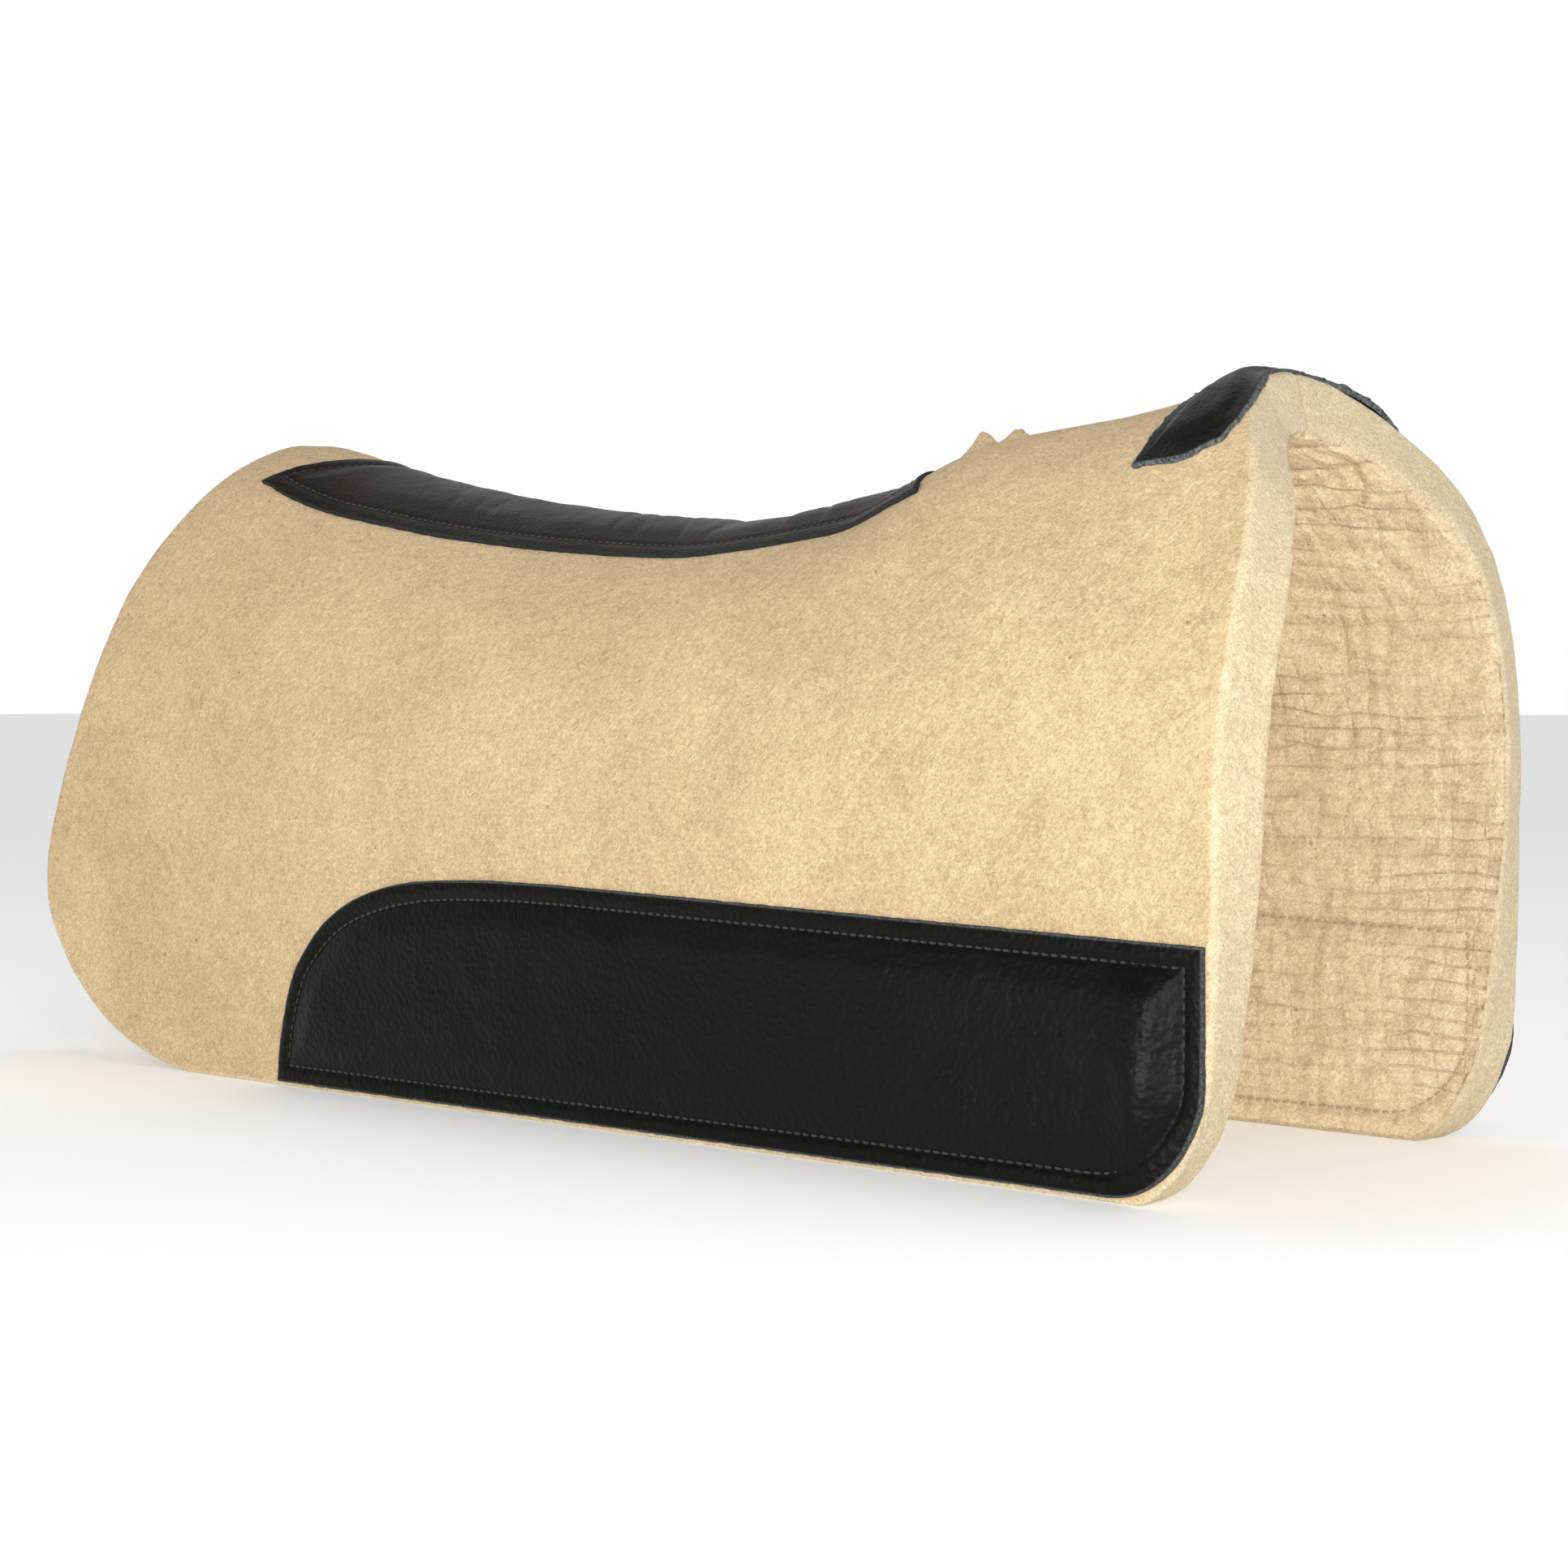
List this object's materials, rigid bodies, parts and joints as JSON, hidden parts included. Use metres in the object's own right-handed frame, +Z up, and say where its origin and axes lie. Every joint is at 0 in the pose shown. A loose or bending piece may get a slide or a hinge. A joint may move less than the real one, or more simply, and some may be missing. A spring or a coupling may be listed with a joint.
{
  "type": "contoured felt saddle pad",
  "caption": "Contoured thick wool-felt saddle pad, two halves joined along a dipped spine, with leather spine strip, wither patch and wear leathers.",
  "frame": {"origin": "centre of the footprint on the ground the two lower edges stand on", "axes": "+X to the horse's head along the spine, +Y to the horse's left, +Z up"},
  "size_m": [0.7861, 0.2536, 0.3443],
  "materials": {
    "felt": "matte",
    "leather": "satin",
    "needle_thread": "matte",
    "bobbin_thread": "matte"
  },
  "bodies": {
    "left_half": {"felt_left": "felt", "wear_leather_left": "leather", "wear_needle_thread_left": "needle_thread", "wear_bobbin_thread_left": "bobbin_thread", "spine_leather": "leather", "wither_leather": "leather", "spine_needle_thread": "needle_thread", "wither_needle_thread": "needle_thread", "spine_bobbin_thread": "bobbin_thread", "wither_bobbin_thread": "bobbin_thread"},
    "right_half": {"felt_right": "felt", "wear_leather_right": "leather", "wear_needle_thread_right": "needle_thread", "wear_bobbin_thread_right": "bobbin_thread"}
  },
  "joints": [
    {"name": "spine_fold", "type": "hinge", "parent": "left_half", "child": "right_half", "pos_m": [0, 0, 0.345], "axis": [-1, 0, 0], "range_deg": [0, 50], "stiffness_Nm_per_rad": 6, "springref_deg": -5.73, "deforming": ["spine_leather", "wither_leather", "spine_needle_thread", "wither_needle_thread", "spine_bobbin_thread", "wither_bobbin_thread"]}
  ]
}
